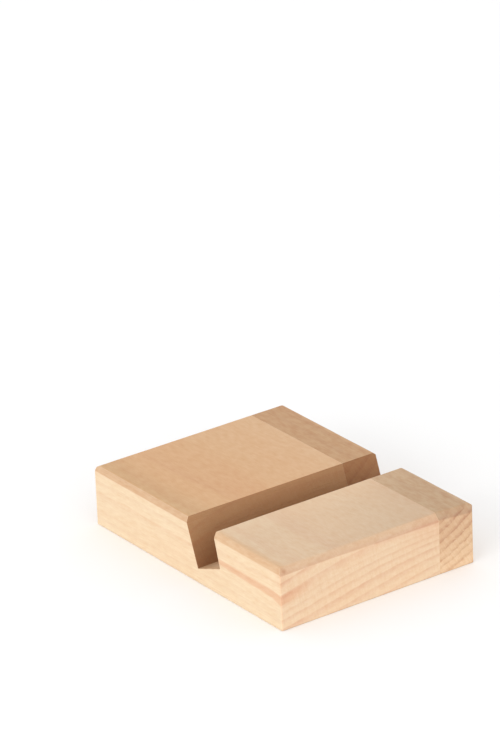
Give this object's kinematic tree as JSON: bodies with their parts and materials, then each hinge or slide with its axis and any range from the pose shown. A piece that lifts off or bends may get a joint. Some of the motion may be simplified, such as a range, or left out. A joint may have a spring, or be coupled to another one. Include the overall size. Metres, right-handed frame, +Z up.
{
  "type": "phone stand",
  "caption": "Low beech block phone stand of a wide and a narrow glued stave, with a leaning slot right across and chamfered top edges.",
  "frame": {"origin": "centre of the underside, on the surface that the stand rests on", "axes": "+Z up, +Y from the front end grain face to the back, +X to the right, towards the narrow stave"},
  "size_m": [0.072, 0.097, 0.02],
  "materials": {
    "beech_pale": "fine sanded, bare or very thinly oiled, matt",
    "beech_dark": "fine sanded, bare or very thinly oiled, matt",
    "wood_glue": "dried wood glue, seen only as a hairline"
  },
  "bodies": {
    "root": {"main_stave": "beech_pale", "edge_stave": "beech_dark", "glue_film": "wood_glue"}
  },
  "joints": []
}
